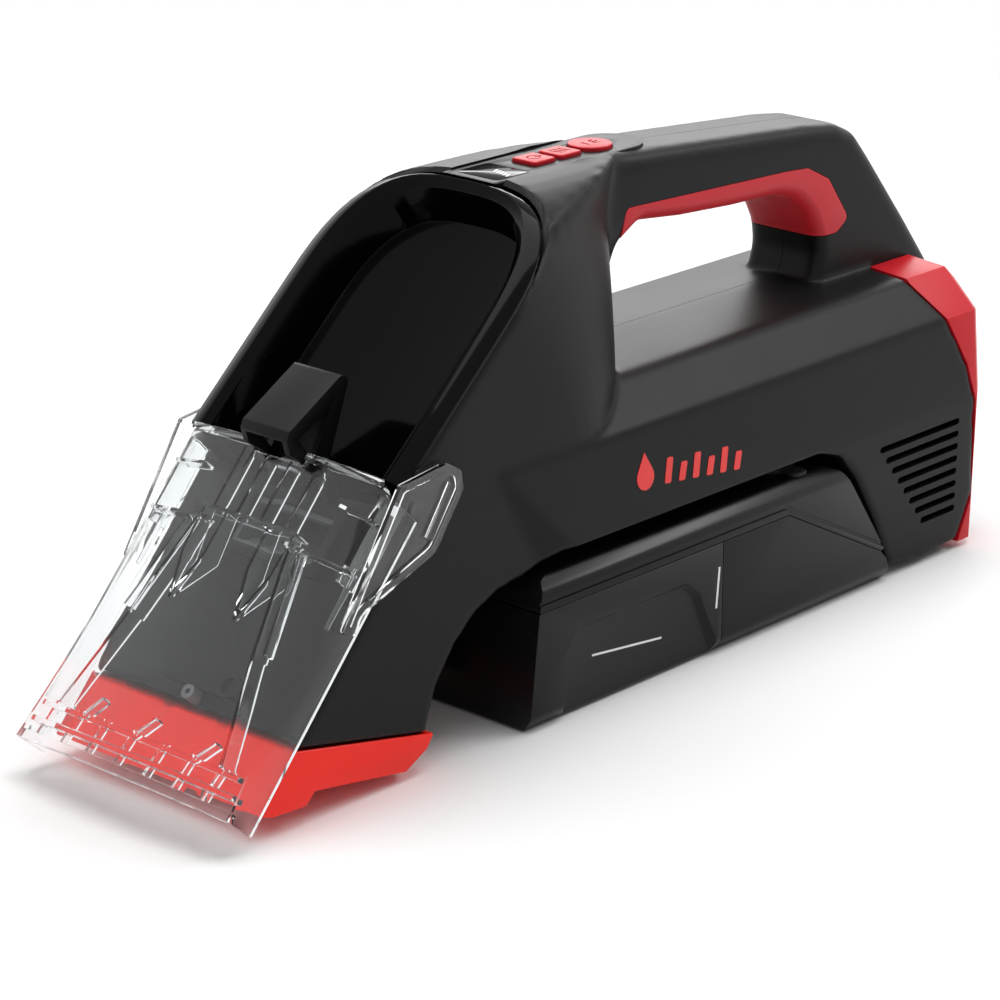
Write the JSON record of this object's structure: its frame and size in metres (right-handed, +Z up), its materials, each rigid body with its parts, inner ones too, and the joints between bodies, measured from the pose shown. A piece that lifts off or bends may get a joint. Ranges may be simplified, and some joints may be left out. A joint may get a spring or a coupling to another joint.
{
  "type": "handheld carpet cleaner",
  "caption": "Cordless handheld carpet cleaner: looped handle, clear suction nozzle with latch, red trim, battery, fan and pump inside, and a two-part water tank below",
  "frame": {"origin": "below the middle of the overall length, on the floor plane, in the plane of symmetry of the body", "axes": "+X from nose to rear along the overall length, +Y to the far side, +Z up"},
  "size_m": [0.4238, 0.109, 0.1839],
  "materials": {
    "satin_black": "fine satin moulding",
    "gloss_black": "high gloss",
    "tank_black": "semi-gloss, smoky",
    "red": "satin, soft to touch on the grip",
    "foot_red": "semi-gloss",
    "clear": "clear polycarbonate",
    "rubber": "matte",
    "grey_plastic": "plain moulding",
    "white_plastic": "plain moulding",
    "board_green": "solder resist",
    "cell_wrap": "shrink film",
    "foam": "open foam",
    "steel": "plain",
    "silicone": "soft tube"
  },
  "bodies": {
    "machine": {"housing_near": "satin_black", "housing_far": "satin_black", "front_panel": "satin_black", "control_panel": "satin_black", "rear_cover": "satin_black", "front_cowl": "gloss_black", "display_window": "gloss_black", "grip_pad": "red", "rear_trim": "red", "nose_foot": "foot_red", "nozzle_seal": "rubber", "suction_seal": "rubber", "air_seal": "rubber", "motor_mount": "rubber", "spray_jet": "grey_plastic", "suction_duct": "grey_plastic", "air_duct": "grey_plastic", "fan_housing": "grey_plastic", "battery_tray": "grey_plastic", "water_pump": "grey_plastic", "charging_socket": "grey_plastic", "switch_board": "board_green", "main_board": "board_green", "battery_cell_1": "cell_wrap", "battery_cell_2": "cell_wrap", "battery_cell_3": "cell_wrap", "battery_cell_4": "cell_wrap", "air_filter": "foam", "screw_nose": "steel", "screw_cowl": "steel", "screw_deck": "steel", "screw_grip": "steel", "latch_pin": "steel", "latch_spring": "steel", "motor": "steel", "catch_pin": "steel", "supply_tube": "silicone", "spray_tube": "silicone"},
    "fan": {"fan_impeller": "white_plastic"},
    "nozzle": {"clear_nozzle": "clear"},
    "latch": {"nozzle_latch": "satin_black"},
    "tank": {"dirty_tank": "tank_black", "clean_tank": "tank_black", "tank_lid": "tank_black", "lid_gasket": "rubber", "float_cage": "grey_plastic", "tank_valve": "grey_plastic", "pickup_tube": "silicone"},
    "float": {"float_ball": "white_plastic"},
    "cap": {"fill_cap": "rubber"},
    "catch": {"tank_catch": "satin_black"},
    "power_key": {"power_button": "red"},
    "suction_key": {"suction_button": "red"},
    "spray_key": {"spray_button": "red"}
  },
  "joints": [
    {"name": "nozzle_slide", "type": "slide", "parent": "machine", "child": "nozzle", "axis": [-0.6639, 0, -0.7478], "range_m": [0, 0.06]},
    {"name": "nozzle_latch_hinge", "type": "hinge", "parent": "machine", "child": "latch", "pos_m": [-0.1232, 0, 0.0992], "axis": [0, 1, 0], "range_deg": [0, 22], "stiffness_Nm_per_rad": 0.05},
    {"name": "tank_slide", "type": "slide", "parent": "machine", "child": "tank", "axis": [0, 0, -1], "range_m": [0, 0.08]},
    {"name": "tank_catch_hinge", "type": "hinge", "parent": "machine", "child": "catch", "pos_m": [-0.0765, 0, 0.0495], "axis": [0, 1, 0], "range_deg": [0, 25], "stiffness_Nm_per_rad": 0.05},
    {"name": "fan_spin", "type": "hinge", "parent": "machine", "child": "fan", "pos_m": [0.147, 0, 0.066], "axis": [1, 0, 0], "continuous": true},
    {"name": "float_slide", "type": "slide", "parent": "tank", "child": "float", "axis": [0, 0, 1], "range_m": [0, 0.008]},
    {"name": "fill_cap_slide", "type": "slide", "parent": "tank", "child": "cap", "axis": [0, 0, 1], "range_m": [0, 0.004]},
    {"name": "power_press", "type": "slide", "parent": "machine", "child": "power_key", "axis": [0, 0, -1], "range_m": [0, 0.0012], "stiffness_N_per_m": 300},
    {"name": "suction_press", "type": "slide", "parent": "machine", "child": "suction_key", "axis": [0, 0, -1], "range_m": [0, 0.0012], "stiffness_N_per_m": 300},
    {"name": "spray_press", "type": "slide", "parent": "machine", "child": "spray_key", "axis": [0, 0, -1], "range_m": [0, 0.0012], "stiffness_N_per_m": 300}
  ]
}
